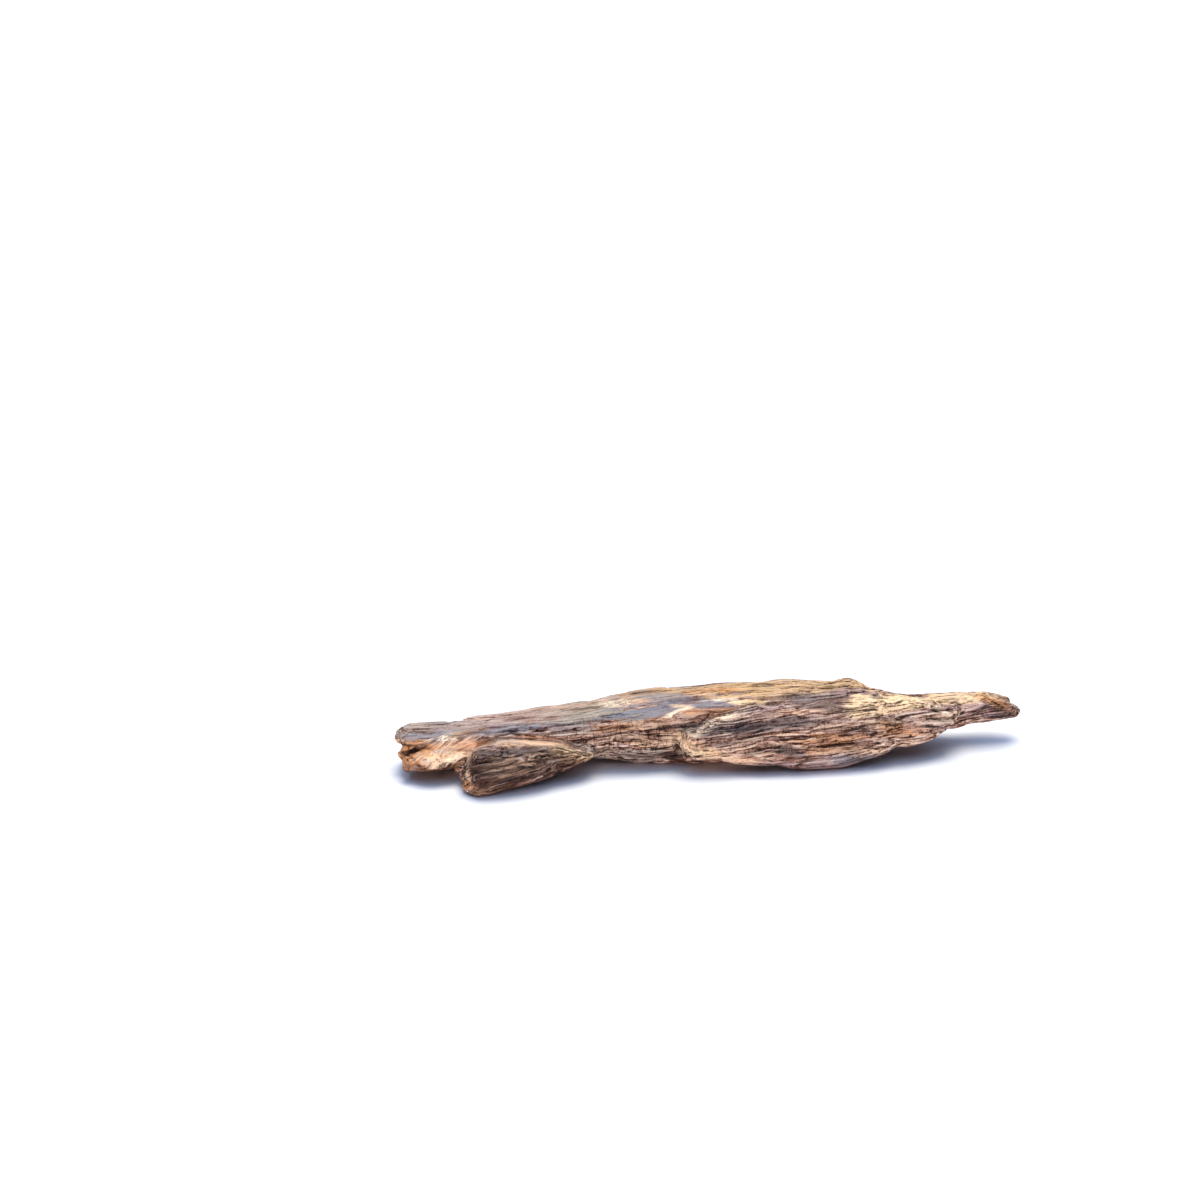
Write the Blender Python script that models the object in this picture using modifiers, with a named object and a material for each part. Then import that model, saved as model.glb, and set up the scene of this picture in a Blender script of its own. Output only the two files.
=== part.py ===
"""A piece of agarwood: one split, weathered length of resinous heartwood.

The grain runs along X, from the blunt broken butt at -X to the thin tail at +X. The face with the
shield-shaped scale and the knob looks along -Y. The piece lies on the plane z = 0.
Lengths are in metres; the tables of stations are in millimetres and are scaled by MM.
"""

import math

import bmesh
import bpy
from mathutils import Matrix, Vector, noise

MM = 0.001

# Meshing
ROUNDING_LEVELS = 3
JOIN_VOXEL = 0.28 * MM
FINISH_VOXEL = 0.3 * MM
TRIANGLES = 9600

# Weathered relief, which follows the grain: split ledges, and narrower furrows between the fibres
LEDGE_SIZE = Vector((34.0, 4.2, 4.2)) * MM
LEDGE_STEPS = 2.8
LEDGE_RISER = 0.2
LEDGE_HEIGHT = 1.3 * MM
FURROW_SIZE = Vector((26.0, 2.6, 2.6)) * MM
FURROW_SHARPNESS = 3.6
FURROW_DEPTH = 0.8 * MM
SWAY_SIZE = 9.0 * MM
SWAY = 0.3
SWAY_SEED = 3

# Torn ends: how far fibres stand out of a broken end, and how thick a bundle of them is
TEAR_LENGTH = 1.1 * MM
TEAR_WIDTH = 1.3 * MM

# The block whose top is the plane the piece lies on
GROUND_SIZE = Vector((120.0, 40.0, 6.0)) * MM

WOOD_COLOUR = (0.24, 0.13, 0.075, 1.0)
WOOD_ROUGHNESS = 0.75

# Each limb has a profile, how far its ring's eight points stand out, from the back up over the top
# to the front and under, and its stations: x, y, z, half depth, half height, roll in degrees
TRUNK = (
    (1.1, 1.3, 1.1, 1.3, 1.1, 1.25, 1.1, 1.25),
    (
        (-44.8, -2.8, 3.8, 2.2, 2.0, 0),
        (-44.0, -2.6, 3.7, 2.8, 2.5, 0),
        (-41.0, -2.2, 3.6, 2.9, 2.5, 0),
        (-37.0, -1.8, 3.7, 3.0, 2.6, 0),
        (-30.0, -1.3, 3.8, 3.6, 3.1, 0),
        (-23.2, -0.4, 4.1, 3.9, 3.5, 2),
        (-17.0, 0.9, 4.3, 4.3, 4.0, 2),
        (-10.0, 1.5, 4.7, 4.9, 4.7, 0),
        (0.0, 2.3, 5.1, 4.7, 5.1, -3),
        (10.0, 3.0, 5.7, 4.3, 4.9, -6),
        (20.0, 3.6, 6.2, 3.8, 4.6, -8),
        (23.6, 4.3, 5.7, 3.0, 3.3, -8),
        (27.0, 5.1, 5.1, 2.5, 2.3, 0),
        (34.0, 5.7, 5.4, 2.4, 2.7, 6),
        (40.0, 6.3, 5.5, 2.3, 2.5, 10),
        (43.4, 6.5, 5.2, 2.0, 1.7, 10),
        (45.5, 6.6, 4.7, 1.4, 1.2, 10),
    ),
)
SHIELD = (
    (1.1, 1.15, 1.1, 1.15, 1.1, 1.15, 1.1, 1.15),
    (
        (-4.2, -3.0, 5.0, 1.2, 1.2, 0),
        (-3.0, -2.9, 5.1, 2.0, 2.2, -10),
        (-0.4, -2.4, 5.1, 2.7, 3.1, -16),
        (3.5, -1.7, 4.9, 3.0, 3.8, -20),
        (7.5, -1.3, 5.1, 3.1, 4.4, -20),
        (12.5, -1.1, 4.9, 3.2, 5.3, -20),
        (18.7, -0.3, 5.3, 3.2, 5.8, -20),
        (23.0, 0.3, 5.6, 3.0, 5.1, -20),
        (28.0, 1.1, 5.5, 2.4, 3.9, -22),
        (32.5, 1.6, 5.5, 1.8, 2.7, -24),
        (35.0, 1.9, 5.7, 1.2, 1.6, -24),
        (36.4, 2.1, 5.7, 0.6, 0.7, -24),
    ),
)
KNOB = (
    (1.1, 1.1, 1.1, 1.1, 1.1, 1.1, 1.1, 1.1),
    (
        (-35.7, -7.9, 3.2, 1.8, 1.7, 0),
        (-34.9, -8.0, 3.2, 2.9, 2.8, 0),
        (-33.5, -7.9, 3.3, 3.6, 3.3, 0),
        (-31.0, -7.4, 3.7, 3.8, 3.1, 0),
        (-27.0, -6.6, 3.9, 3.6, 2.6, 4),
        (-23.0, -5.6, 3.9, 3.0, 2.0, 8),
        (-19.3, -4.7, 3.9, 2.0, 1.4, 8),
        (-17.0, -4.2, 4.0, 0.9, 0.7, 8),
    ),
)
FLAP = (
    (1.0, 1.1, 1.0, 1.1, 1.1, 1.1, 1.0, 1.1),
    (
        (-43.4, -5.9, 3.6, 1.2, 0.5, 30),
        (-42.0, -6.0, 3.8, 2.2, 0.8, 34),
        (-39.4, -6.0, 4.0, 2.8, 1.0, 36),
        (-36.6, -5.7, 4.4, 2.5, 0.9, 36),
        (-33.0, -4.8, 5.0, 1.6, 0.7, 32),
        (-29.0, -4.2, 5.4, 0.8, 0.5, 28),
    ),
)
HEEL = (
    (1.1, 1.1, 1.1, 1.15, 1.1, 1.15, 1.1, 1.1),
    (
        (-45.3, -4.8, 2.7, 1.7, 1.4, 0),
        (-44.5, -4.8, 2.6, 2.2, 1.7, 0),
        (-41.5, -4.6, 2.2, 2.2, 1.6, 0),
        (-38.0, -4.2, 1.9, 2.4, 1.7, 0),
        (-30.0, -1.2, 1.9, 2.6, 1.8, 0),
        (-22.0, 1.0, 2.4, 2.2, 1.7, 0),
    ),
)
CREST = (
    (1.0, 1.1, 1.2, 1.1, 1.0, 1.1, 1.0, 1.1),
    (
        (-7.0, -1.6, 7.6, 0.7, 0.7, 0),
        (-4.0, -1.2, 8.4, 1.2, 1.1, 0),
        (0.0, -0.2, 9.2, 1.4, 1.2, 0),
        (6.0, 0.4, 9.4, 1.4, 1.2, 0),
        (13.0, 1.4, 9.8, 1.3, 1.1, 0),
        (19.0, 2.2, 10.0, 0.9, 0.8, 0),
    ),
)
BACK_RIB = (
    (1.1, 1.1, 1.1, 1.1, 1.1, 1.2, 1.1, 1.2),
    (
        (-28.0, 1.6, 3.2, 1.4, 1.4, 0),
        (-20.0, 3.6, 2.9, 2.2, 2.1, 12),
        (-8.0, 5.6, 2.5, 2.7, 2.4, 16),
        (6.0, 6.6, 2.2, 2.8, 2.4, 14),
        (18.0, 6.4, 3.2, 2.4, 2.2, 10),
        (27.0, 5.6, 4.4, 1.6, 1.6, 6),
    ),
)
LIMBS = {
    "trunk": TRUNK,
    "shield": SHIELD,
    "knob": KNOB,
    "flap": FLAP,
    "heel": HEEL,
    "crest": CREST,
    "back_rib": BACK_RIB,
}

# The hollows that are cut into the joined limbs, in the same form as a limb
FLAP_HOLLOW = (
    (1.1, 1.1, 1.1, 1.1, 1.1, 1.1, 1.1, 1.1),
    (
        (-47.0, -7.6, 0.2, 1.8, 1.4, 0),
        (-44.0, -6.6, 0.3, 2.2, 1.5, 0),
        (-40.0, -5.9, 0.4, 2.4, 1.4, 0),
        (-36.6, -5.4, 0.8, 1.6, 1.3, 0),
        (-34.4, -5.0, 1.2, 0.6, 0.6, 0),
    ),
)
BUTT_PIT = (
    (1.0, 1.1, 1.0, 1.1, 1.0, 1.1, 1.0, 1.1),
    (
        (-46.4, -6.4, 4.3, 0.5, 0.4, 0),
        (-44.6, -6.0, 4.7, 0.8, 0.6, 0),
        (-42.6, -5.8, 5.2, 0.8, 0.6, 0),
        (-40.8, -5.6, 5.6, 0.4, 0.3, 0),
    ),
)
KNOB_SEAM = (
    (1.0, 1.0, 1.0, 1.0, 1.0, 1.0, 1.0, 1.0),
    (
        (-37.5, -6.0, 6.2, 0.5, 0.4, 0),
        (-34.5, -5.9, 6.3, 0.6, 0.5, 0),
        (-30.0, -5.4, 6.5, 0.5, 0.4, 0),
        (-25.0, -4.8, 6.3, 0.3, 0.3, 0),
    ),
)
BACK_GOUGE = (
    (1.1, 1.1, 1.1, 1.1, 1.1, 1.1, 1.1, 1.1),
    (
        (-26.0, 4.6, 4.4, 0.6, 0.6, 0),
        (-18.0, 6.2, 4.9, 1.3, 0.9, -10),
        (-6.0, 8.1, 5.3, 1.7, 1.1, -14),
        (6.0, 8.9, 5.6, 1.8, 1.1, -14),
        (16.0, 8.9, 6.2, 1.4, 0.9, -10),
        (23.0, 8.6, 6.6, 0.6, 0.5, 0),
    ),
)
TOP_GOUGE = (
    (1.1, 1.1, 1.1, 1.1, 1.1, 1.1, 1.1, 1.1),
    (
        (-22.0, 2.6, 8.4, 0.6, 0.5, 0),
        (-14.0, 3.9, 9.2, 1.2, 0.8, 12),
        (-4.0, 5.0, 10.3, 1.3, 0.8, 18),
        (5.0, 5.9, 10.6, 1.2, 0.8, 22),
        (12.0, 6.8, 10.6, 0.5, 0.5, 24),
    ),
)
BELLY_GOUGE = (
    (1.1, 1.1, 1.1, 1.1, 1.1, 1.1, 1.1, 1.1),
    (
        (-26.0, -1.6, 0.1, 0.8, 0.5, 0),
        (-16.0, 0.2, -0.2, 1.9, 1.2, 0),
        (-2.0, 1.6, -0.4, 2.0, 1.4, 0),
        (12.0, 2.0, 0.0, 1.8, 1.3, 0),
        (22.0, 2.8, 0.6, 0.9, 0.7, 0),
    ),
)
HOLLOWS = {
    "flap_hollow": FLAP_HOLLOW,
    "butt_pit": BUTT_PIT,
    "knob_seam": KNOB_SEAM,
    "back_gouge": BACK_GOUGE,
    "top_gouge": TOP_GOUGE,
    "belly_gouge": BELLY_GOUGE,
}


def clear_scene():
    for item in list(bpy.data.objects):
        bpy.data.objects.remove(item)


def collection(name):
    made = bpy.data.collections.new(name)
    bpy.context.scene.collection.children.link(made)
    return made


def ring_matrix(station):
    """Carries a unit circle in the YZ plane to the station's place, size and roll."""
    x, y, z, half_depth, half_height, roll = station
    place = Matrix.Translation(Vector((x, y, z)) * MM)
    turn = Matrix.Rotation(math.radians(roll), 4, "X")
    size = Matrix.Diagonal((1.0, half_depth * MM, half_height * MM, 1.0))
    return place @ turn @ size


def limb(name, profile, stations):
    """A closed length of wood: a ring extruded from station to station, then rounded."""
    form = bmesh.new()
    before = ring_matrix(stations[0])
    across_grain = Matrix.Rotation(math.radians(90), 4, "Y")
    bmesh.ops.create_circle(form, cap_ends=True, segments=len(profile), radius=1.0, matrix=across_grain)
    for vertex in form.verts:
        turn = math.atan2(vertex.co.z, vertex.co.y) / (2 * math.pi)
        vertex.co *= profile[round(turn * len(profile)) % len(profile)]
    bmesh.ops.transform(form, matrix=before, verts=form.verts)
    cap = form.faces[:]
    for station in stations[1:]:
        extruded = bmesh.ops.extrude_face_region(form, geom=cap)["geom"]
        cap = [face for face in extruded if isinstance(face, bmesh.types.BMFace)]
        after = ring_matrix(station)
        bmesh.ops.transform(form, matrix=after @ before.inverted(), verts=cap[0].verts)
        before = after
    bmesh.ops.recalc_face_normals(form, faces=form.faces)
    mesh = bpy.data.meshes.new(name)
    form.to_mesh(mesh)
    form.free()
    made = bpy.data.objects.new(name, mesh)
    rounding = made.modifiers.new("rounding", "SUBSURF")
    rounding.levels = rounding.render_levels = ROUNDING_LEVELS
    return made


def evaluated_mesh(item):
    bpy.context.view_layer.update()
    graph = bpy.context.evaluated_depsgraph_get()
    return bpy.data.meshes.new_from_object(item.evaluated_get(graph))


def settle(item):
    """Makes the result of an object's modifiers its own mesh."""
    settled = evaluated_mesh(item)
    item.modifiers.clear()
    item.data = settled


def joined(name, items):
    form = bmesh.new()
    for item in items:
        form.from_mesh(evaluated_mesh(item))
    mesh = bpy.data.meshes.new(name)
    form.to_mesh(mesh)
    form.free()
    return bpy.data.objects.new(name, mesh)


def keep_largest(mesh):
    """Removes the crumbs that carving leaves beside the body."""
    form = bmesh.new()
    form.from_mesh(mesh)
    unseen = set(form.verts)
    bodies = []
    while unseen:
        body = {unseen.pop()}
        edge_of_body = list(body)
        while edge_of_body:
            vertex = edge_of_body.pop()
            fresh = {edge.other_vert(vertex) for edge in vertex.link_edges} - body
            body |= fresh
            edge_of_body.extend(fresh)
        unseen -= body
        bodies.append(body)
    bodies.sort(key=len)
    crumbs = [vertex for body in bodies[:-1] for vertex in body]
    bmesh.ops.delete(form, geom=crumbs, context="VERTS")
    form.to_mesh(mesh)
    form.free()


def remesh(item, voxel):
    even = item.modifiers.new("even", "REMESH")
    even.mode = "VOXEL"
    even.voxel_size = voxel


def ring_at(stations, x):
    """The middle, half depth and half height of a limb's ring at x, or None beyond the limb's ends."""
    for before, after in zip(stations, stations[1:]):
        if before[0] <= x <= after[0]:
            share = (x - before[0]) / (after[0] - before[0])
            return [low + (high - low) * share for low, high in zip(before[1:5], after[1:5])]
    return None


def in_grain(point):
    """The point as its own limb's grain sees it: along the limb, and across from the limb's middle."""
    nearest = math.inf
    seen = Vector(point)
    for seed, (profile, stations) in enumerate(LIMBS.values()):
        ring = ring_at(stations, point.x / MM)
        if ring is None:
            continue
        y, z, half_depth, half_height = (size * MM for size in ring)
        reach = math.hypot((point.y - y) / half_depth, (point.z - z) / half_height)
        if reach < nearest:
            nearest = reach
            seen = Vector((point.x + seed * FURROW_SIZE.x, point.y - y, point.z - z))
    return seen


def scaled(point, size):
    return Vector((point.x / size.x, point.y / size.y, point.z / size.z))


def relief(point):
    """How far the weathered surface stands out at a point, in metres."""
    grain = in_grain(point)
    sway = noise.noise_vector(point / SWAY_SIZE) * SWAY
    level = noise.noise(scaled(grain, LEDGE_SIZE) + sway) * LEDGE_STEPS
    step = math.floor(level)
    ledge = (step + min(1.0, (level - step) / LEDGE_RISER)) / LEDGE_STEPS
    furrow = max(0.0, 1.0 - abs(noise.noise(scaled(grain, FURROW_SIZE) + sway)) * FURROW_SHARPNESS)
    return ledge * LEDGE_HEIGHT - furrow * FURROW_DEPTH


def weather(mesh):
    """Moves each vertex along its normal by the relief, and tears the faces that cross the grain."""
    form = bmesh.new()
    form.from_mesh(mesh)
    form.normal_update()
    moves = []
    for vertex in form.verts:
        across = Vector((0.0, vertex.co.y, vertex.co.z)) / TEAR_WIDTH
        tear = noise.noise(across) * TEAR_LENGTH * vertex.normal.x ** 2
        moves.append(vertex.normal * relief(vertex.co) + Vector((tear, 0.0, 0.0)))
    for vertex, move in zip(form.verts, moves):
        vertex.co += move
    form.to_mesh(mesh)
    form.free()


def block_under(name, middle, size):
    """A block whose top face is the plane z = 0."""
    form = bmesh.new()
    drop = Vector((0.0, 0.0, -size.z / 2))
    place = Matrix.Translation(middle + drop) @ Matrix.Diagonal(size.to_4d())
    bmesh.ops.create_cube(form, size=1.0, matrix=place)
    mesh = bpy.data.meshes.new(name)
    form.to_mesh(mesh)
    form.free()
    return bpy.data.objects.new(name, mesh)


def cut(item, name):
    """Adds a Boolean that takes something away from the item, and returns it."""
    made = item.modifiers.new(name, "BOOLEAN")
    made.operation = "DIFFERENCE"
    made.solver = "EXACT"
    return made


def centre_on_origin(mesh):
    xs = [vertex.co.x for vertex in mesh.vertices]
    ys = [vertex.co.y for vertex in mesh.vertices]
    mesh.transform(Matrix.Translation((-(min(xs) + max(xs)) / 2, -(min(ys) + max(ys)) / 2, 0.0)))


def wood():
    made = bpy.data.materials.new("agarwood")
    made.use_nodes = True
    shader = made.node_tree.nodes["Principled BSDF"]
    shader.inputs["Base Color"].default_value = WOOD_COLOUR
    shader.inputs["Roughness"].default_value = WOOD_ROUGHNESS
    return made


clear_scene()
noise.seed_set(SWAY_SEED)

limbs = collection("limbs")
for limb_name, (profile, stations) in LIMBS.items():
    limbs.objects.link(limb(limb_name, profile, stations))

hollows = collection("cutters")
for hollow_name, (profile, stations) in HOLLOWS.items():
    hollows.objects.link(limb(hollow_name, profile, stations))
ground = block_under("ground", Vector((0.0, 0.0, 0.0)), GROUND_SIZE)
collection("ground_cutter").objects.link(ground)
for cutter in [*hollows.objects, ground]:
    cutter.display_type = "WIRE"
    cutter.hide_render = True

piece = joined("agarwood_piece", limbs.objects)
collection("agarwood").objects.link(piece)
for item in list(limbs.objects):
    bpy.data.objects.remove(item)
bpy.data.collections.remove(limbs)

remesh(piece, JOIN_VOXEL)
carving = cut(piece, "carving")
carving.operand_type = "COLLECTION"
carving.collection = hollows
settle(piece)

weather(piece.data)
remesh(piece, FINISH_VOXEL)
settle(piece)
keep_largest(piece.data)

facets = piece.modifiers.new("facets", "DECIMATE")
facets.ratio = TRIANGLES / (2 * len(piece.data.polygons))
cut(piece, "resting_faces").object = ground
settle(piece)

centre_on_origin(piece.data)
piece.data.shade_smooth()
piece.data.materials.append(wood())
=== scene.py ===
"""A weathered piece of agarwood on a pale table, lit softly from overhead."""

import math

import bpy
import numpy as np
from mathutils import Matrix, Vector
from mathutils.bvhtree import BVHTree


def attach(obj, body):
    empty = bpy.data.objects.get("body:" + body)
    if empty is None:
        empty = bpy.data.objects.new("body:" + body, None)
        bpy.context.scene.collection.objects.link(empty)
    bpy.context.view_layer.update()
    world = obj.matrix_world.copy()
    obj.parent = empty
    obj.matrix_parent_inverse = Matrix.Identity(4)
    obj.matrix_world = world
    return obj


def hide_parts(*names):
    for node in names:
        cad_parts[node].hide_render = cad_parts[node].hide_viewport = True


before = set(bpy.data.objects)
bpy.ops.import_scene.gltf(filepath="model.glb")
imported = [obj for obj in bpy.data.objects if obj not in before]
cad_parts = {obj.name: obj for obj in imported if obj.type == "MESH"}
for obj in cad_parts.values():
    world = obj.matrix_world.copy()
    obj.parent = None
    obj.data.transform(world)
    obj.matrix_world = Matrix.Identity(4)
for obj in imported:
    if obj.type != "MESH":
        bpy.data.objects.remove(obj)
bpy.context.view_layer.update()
bpy.ops.object.select_all(action="DESELECT")

# The camera: a long lens about half a metre away, looking down at the front of the piece, which lies
# low and right of the middle of the picture.
MM = 0.001
CAMERA_TILT = math.radians(28.0)
CAMERA_LENS = 70.0
CAMERA_SENSOR = 24.0
CAMERA_NEAR_LIMIT = 0.01
PICTURE_PIXELS = 1200
PIXELS_PER_MM = 6.9
PICTURE_WIDTH = PICTURE_PIXELS / PIXELS_PER_MM * MM
PIECE_MIDDLE = Vector((0.0, 0.0, 4.0)) * MM
PIECE_RIGHT_OF_MIDDLE = 110.2 / PICTURE_PIXELS
PIECE_BELOW_MIDDLE = 138.3 / PICTURE_PIXELS

towards_camera = Vector((0.0, -math.cos(CAMERA_TILT), math.sin(CAMERA_TILT)))
picture_up = Vector((0.0, math.sin(CAMERA_TILT), math.cos(CAMERA_TILT)))
looked_at = PIECE_MIDDLE + picture_up * PICTURE_WIDTH * PIECE_BELOW_MIDDLE
looked_at.x -= PICTURE_WIDTH * PIECE_RIGHT_OF_MIDDLE
distance = PICTURE_WIDTH * CAMERA_LENS / CAMERA_SENSOR
eye = looked_at + towards_camera * distance
bpy.ops.object.camera_add(location=eye, rotation=(math.pi / 2 - CAMERA_TILT, 0.0, 0.0))
camera = bpy.context.object
camera.data.lens = CAMERA_LENS
camera.data.sensor_width = CAMERA_SENSOR
camera.data.clip_start = CAMERA_NEAR_LIMIT
bpy.context.scene.camera = camera

# The table: a smooth board painted a matt white, so wide that none of its edges shows and it runs on
# behind the wood as plain white.
TABLE_SIZE = 4.0
TABLE_WHITE = (0.90, 0.90, 0.91, 1.0)
TABLE_ROUGHNESS = 0.55

bpy.ops.mesh.primitive_plane_add(size=TABLE_SIZE)
table = bpy.context.object
table.name = "table_top"
table_paint = bpy.data.materials.new("table_paint")
table_paint.use_nodes = True
table_shader = table_paint.node_tree.nodes["Principled BSDF"]
table_shader.inputs["Base Color"].default_value = TABLE_WHITE
table_shader.inputs["Roughness"].default_value = TABLE_ROUGHNESS
table.data.materials.append(table_paint)

# The light: cool sky, brightest nearly overhead, with a warm lamp beside the bright part, so that the
# shadows lie close under the wood and fade out bluish. A card in front, set so low that it hardly
# reaches the table, lights the face of the wood.
SKY_DIM_COLOUR = (0.22, 0.46, 1.0, 1.0)
SKY_BRIGHT_COLOUR = (0.60, 0.73, 0.98, 1.0)
SKY_BRIGHTEST = 2.05
SKY_BRIGHT_SIDE = (0.0, 0.17, 0.985)
SKY_BRIGHT_RIM = 0.5
LAMP_COLOUR = (1.0, 0.90, 0.70)
LAMP_POWER = 7.8
LAMP_SIZE = 0.66
LAMP_PLACE = Vector((0.10, 0.24, 1.02))
CARD_COLOUR = (0.96, 0.90, 1.0)
CARD_POWER = 4.7
CARD_SIZE = 0.06
CARD_PLACE = Vector((-0.25, -1.0, 0.032))
FIRST_COLOUR, SECOND_COLOUR, MIXED_COLOUR = 6, 7, 2


def feed(tree, socket, value):
    """Links a socket to another node's output, or sets its plain value."""
    if isinstance(value, bpy.types.NodeSocket):
        tree.links.new(value, socket)
    else:
        socket.default_value = value


def put(tree, kind, inputs=(), output=0, **settings):
    """Adds a node, feeds its inputs by number or name, and returns the output asked for."""
    made = tree.nodes.new(kind)
    for setting, value in settings.items():
        setattr(made, setting, value)
    for place, value in dict(inputs).items():
        feed(tree, made.inputs[place], value)
    return made.outputs[output]


def calc_vector(tree, operation, *values, output=0):
    return put(tree, "ShaderNodeVectorMath", enumerate(values), output, operation=operation)


def ramp(tree, value, low, high, to_low=0.0, to_high=1.0, rise="SMOOTHSTEP"):
    """Goes from to_low to to_high as the value goes from low to high."""
    return put(
        tree,
        "ShaderNodeMapRange",
        enumerate((value, low, high, to_low, to_high)),
        interpolation_type=rise,
    )


def mix(tree, factor, below, above, blend="MIX"):
    """Lays one colour over another, as far as the factor says."""
    return put(
        tree,
        "ShaderNodeMix",
        {0: factor, FIRST_COLOUR: below, SECOND_COLOUR: above},
        output=MIXED_COLOUR,
        data_type="RGBA",
        blend_type=blend,
    )


def add_lamp(name, place, size, power, tint):
    bpy.ops.object.light_add(type="AREA", location=place)
    lamp = bpy.context.object
    lamp.name = name
    lamp.rotation_euler = place.to_track_quat("Z", "Y").to_euler()
    lamp.data.shape = "DISK"
    lamp.data.size = size
    lamp.data.energy = power
    lamp.data.color = tint


world = bpy.data.worlds.new("room_light")
world.use_nodes = True
room = world.node_tree
sky = room.nodes["Background"]
look_way = put(room, "ShaderNodeTexCoord", output="Generated")
towards_bright = calc_vector(room, "DOT_PRODUCT", look_way, SKY_BRIGHT_SIDE, output="Value")
sky_strength = ramp(room, towards_bright, SKY_BRIGHT_RIM, 1.0, 0.0, SKY_BRIGHTEST, rise="LINEAR")
feed(room, sky.inputs["Strength"], sky_strength)
feed(room, sky.inputs["Color"], mix(room, towards_bright, SKY_DIM_COLOUR, SKY_BRIGHT_COLOUR))
bpy.context.scene.world = world
bpy.context.scene.view_settings.view_transform = "Standard"
bpy.context.scene.view_settings.look = "Medium High Contrast"
add_lamp("warm_lamp", LAMP_PLACE, LAMP_SIZE, LAMP_POWER, LAMP_COLOUR)
add_lamp("front_card", CARD_PLACE, CARD_SIZE, CARD_POWER, CARD_COLOUR)

# The wood: one length of resinous heartwood, split off along its grain and long weathered. The grain
# of the long trunk, the scale on its front, the knob and the flap run each their own way, and the
# soft wood between the fibres has worn down into furrows.
#
# Each row: x, y, z of the limb's middle in millimetres, its half depth and half height, and the height
# that its grain runs round.
GRAIN_LIMBS = {
    "trunk": (
        (-46.0, -1.9, 3.8, 2.2, 2.2, 3.8),
        (-40.7, -1.3, 3.6, 2.9, 2.6, 3.6),
        (-36.7, -0.9, 3.7, 3.0, 2.7, 3.7),
        (-22.9, 0.5, 4.1, 4.0, 3.7, 4.1),
        (-9.7, 2.4, 4.7, 5.4, 5.2, 4.7),
        (10.3, 3.9, 5.7, 4.7, 5.4, 5.7),
        (20.4, 4.5, 6.2, 4.2, 5.1, 6.2),
        (27.4, 6.0, 5.1, 2.8, 2.5, 6.6),
        (40.4, 7.2, 5.7, 2.5, 2.2, 9.0),
        (46.2, 7.6, 4.7, 1.6, 1.4, 9.6),
    ),
    "scale": (
        (-4.0, -2.1, 5.0, 1.3, 1.3, 3.2),
        (0.0, -1.5, 5.1, 3.0, 3.5, 3.5),
        (7.8, -0.4, 5.1, 3.4, 5.0, 4.2),
        (19.1, 0.6, 5.3, 3.5, 6.6, 5.0),
        (28.4, 2.0, 5.5, 2.7, 4.4, 5.5),
        (32.9, 2.5, 5.5, 1.8, 2.9, 5.7),
        (37.0, 3.0, 5.7, 0.9, 1.2, 5.9),
    ),
    "knob": (
        (-35.4, -7.0, 3.2, 3.0, 2.9, 1.0),
        (-30.7, -6.5, 3.6, 3.7, 3.0, 1.9),
        (-26.7, -5.7, 3.8, 3.4, 2.5, 2.6),
        (-22.7, -4.7, 3.9, 2.8, 1.9, 3.2),
        (-16.6, -3.3, 4.0, 0.9, 0.7, 4.0),
    ),
    "flap": (
        (-43.4, -5.0, 3.6, 1.8, 1.4, -2.5),
        (-39.1, -5.1, 4.0, 2.8, 1.9, 1.2),
        (-36.3, -4.8, 4.4, 2.6, 1.7, 3.6),
        (-32.7, -3.9, 5.2, 1.9, 1.3, 5.2),
        (-28.7, -3.7, 5.6, 1.5, 1.1, 5.6),
        (-22.0, -4.2, 5.2, 1.2, 0.9, 5.2),
        (-18.0, -4.6, 4.4, 0.7, 0.5, 4.4),
    ),
}
MESH_STRETCH = 2.5
MESH_CELL = 0.146 * MM
SAME_POINT = 0.001 * MM
SMOOTHING_ROUNDS = 8


def select_only(item):
    bpy.ops.object.select_all(action="DESELECT")
    item.select_set(True)
    bpy.context.view_layer.objects.active = item


def edit_all(item, operator, **settings):
    """Runs an edit mode operator on the whole mesh of the item."""
    select_only(item)
    bpy.ops.object.mode_set(mode="EDIT")
    bpy.ops.mesh.select_all(action="SELECT")
    operator(**settings)
    bpy.ops.object.mode_set(mode="OBJECT")


def stretch_along_grain(item, factor):
    edit_all(item, bpy.ops.transform.resize, value=(factor, 1.0, 1.0), center_override=(0.0, 0.0, 0.0))


def apply_modifier(item, kind, **settings):
    """Adds a modifier with these settings to the item, and applies it."""
    select_only(item)
    made = item.modifiers.new(kind.lower(), kind)
    for setting, value in settings.items():
        setattr(made, setting, value)
    bpy.ops.object.modifier_apply(modifier=made.name)


def read_vectors(mesh, name):
    """Every point's place, "co", or the way that the surface faces there, "normal"."""
    values = np.empty(len(mesh.vertices) * 3, np.float32)
    mesh.vertices.foreach_get(name, values)
    return values.reshape(-1, 3)


def read_layer(mesh, name):
    values = np.empty(len(mesh.vertices), np.float32)
    mesh.attributes[name].data.foreach_get("value", values)
    return values


def write_layer(mesh, name, values, kind="FLOAT"):
    made = mesh.attributes.new(name, kind, "POINT")
    field = {"FLOAT": "value", "FLOAT_VECTOR": "vector", "FLOAT_COLOR": "color"}[kind]
    made.data.foreach_set(field, values.astype(np.float32).ravel())


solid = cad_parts["agarwood_piece"]
piece = bpy.data.objects.new("weathered_wood", solid.data.copy())
bpy.context.scene.collection.objects.link(piece)
edit_all(piece, bpy.ops.mesh.remove_doubles, threshold=SAME_POINT)
stretch_along_grain(piece, 1 / MESH_STRETCH)
apply_modifier(piece, "REMESH", mode="VOXEL", voxel_size=MESH_CELL)
stretch_along_grain(piece, MESH_STRETCH)
apply_modifier(piece, "SMOOTH", factor=0.5, iterations=SMOOTHING_ROUNDS)

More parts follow.
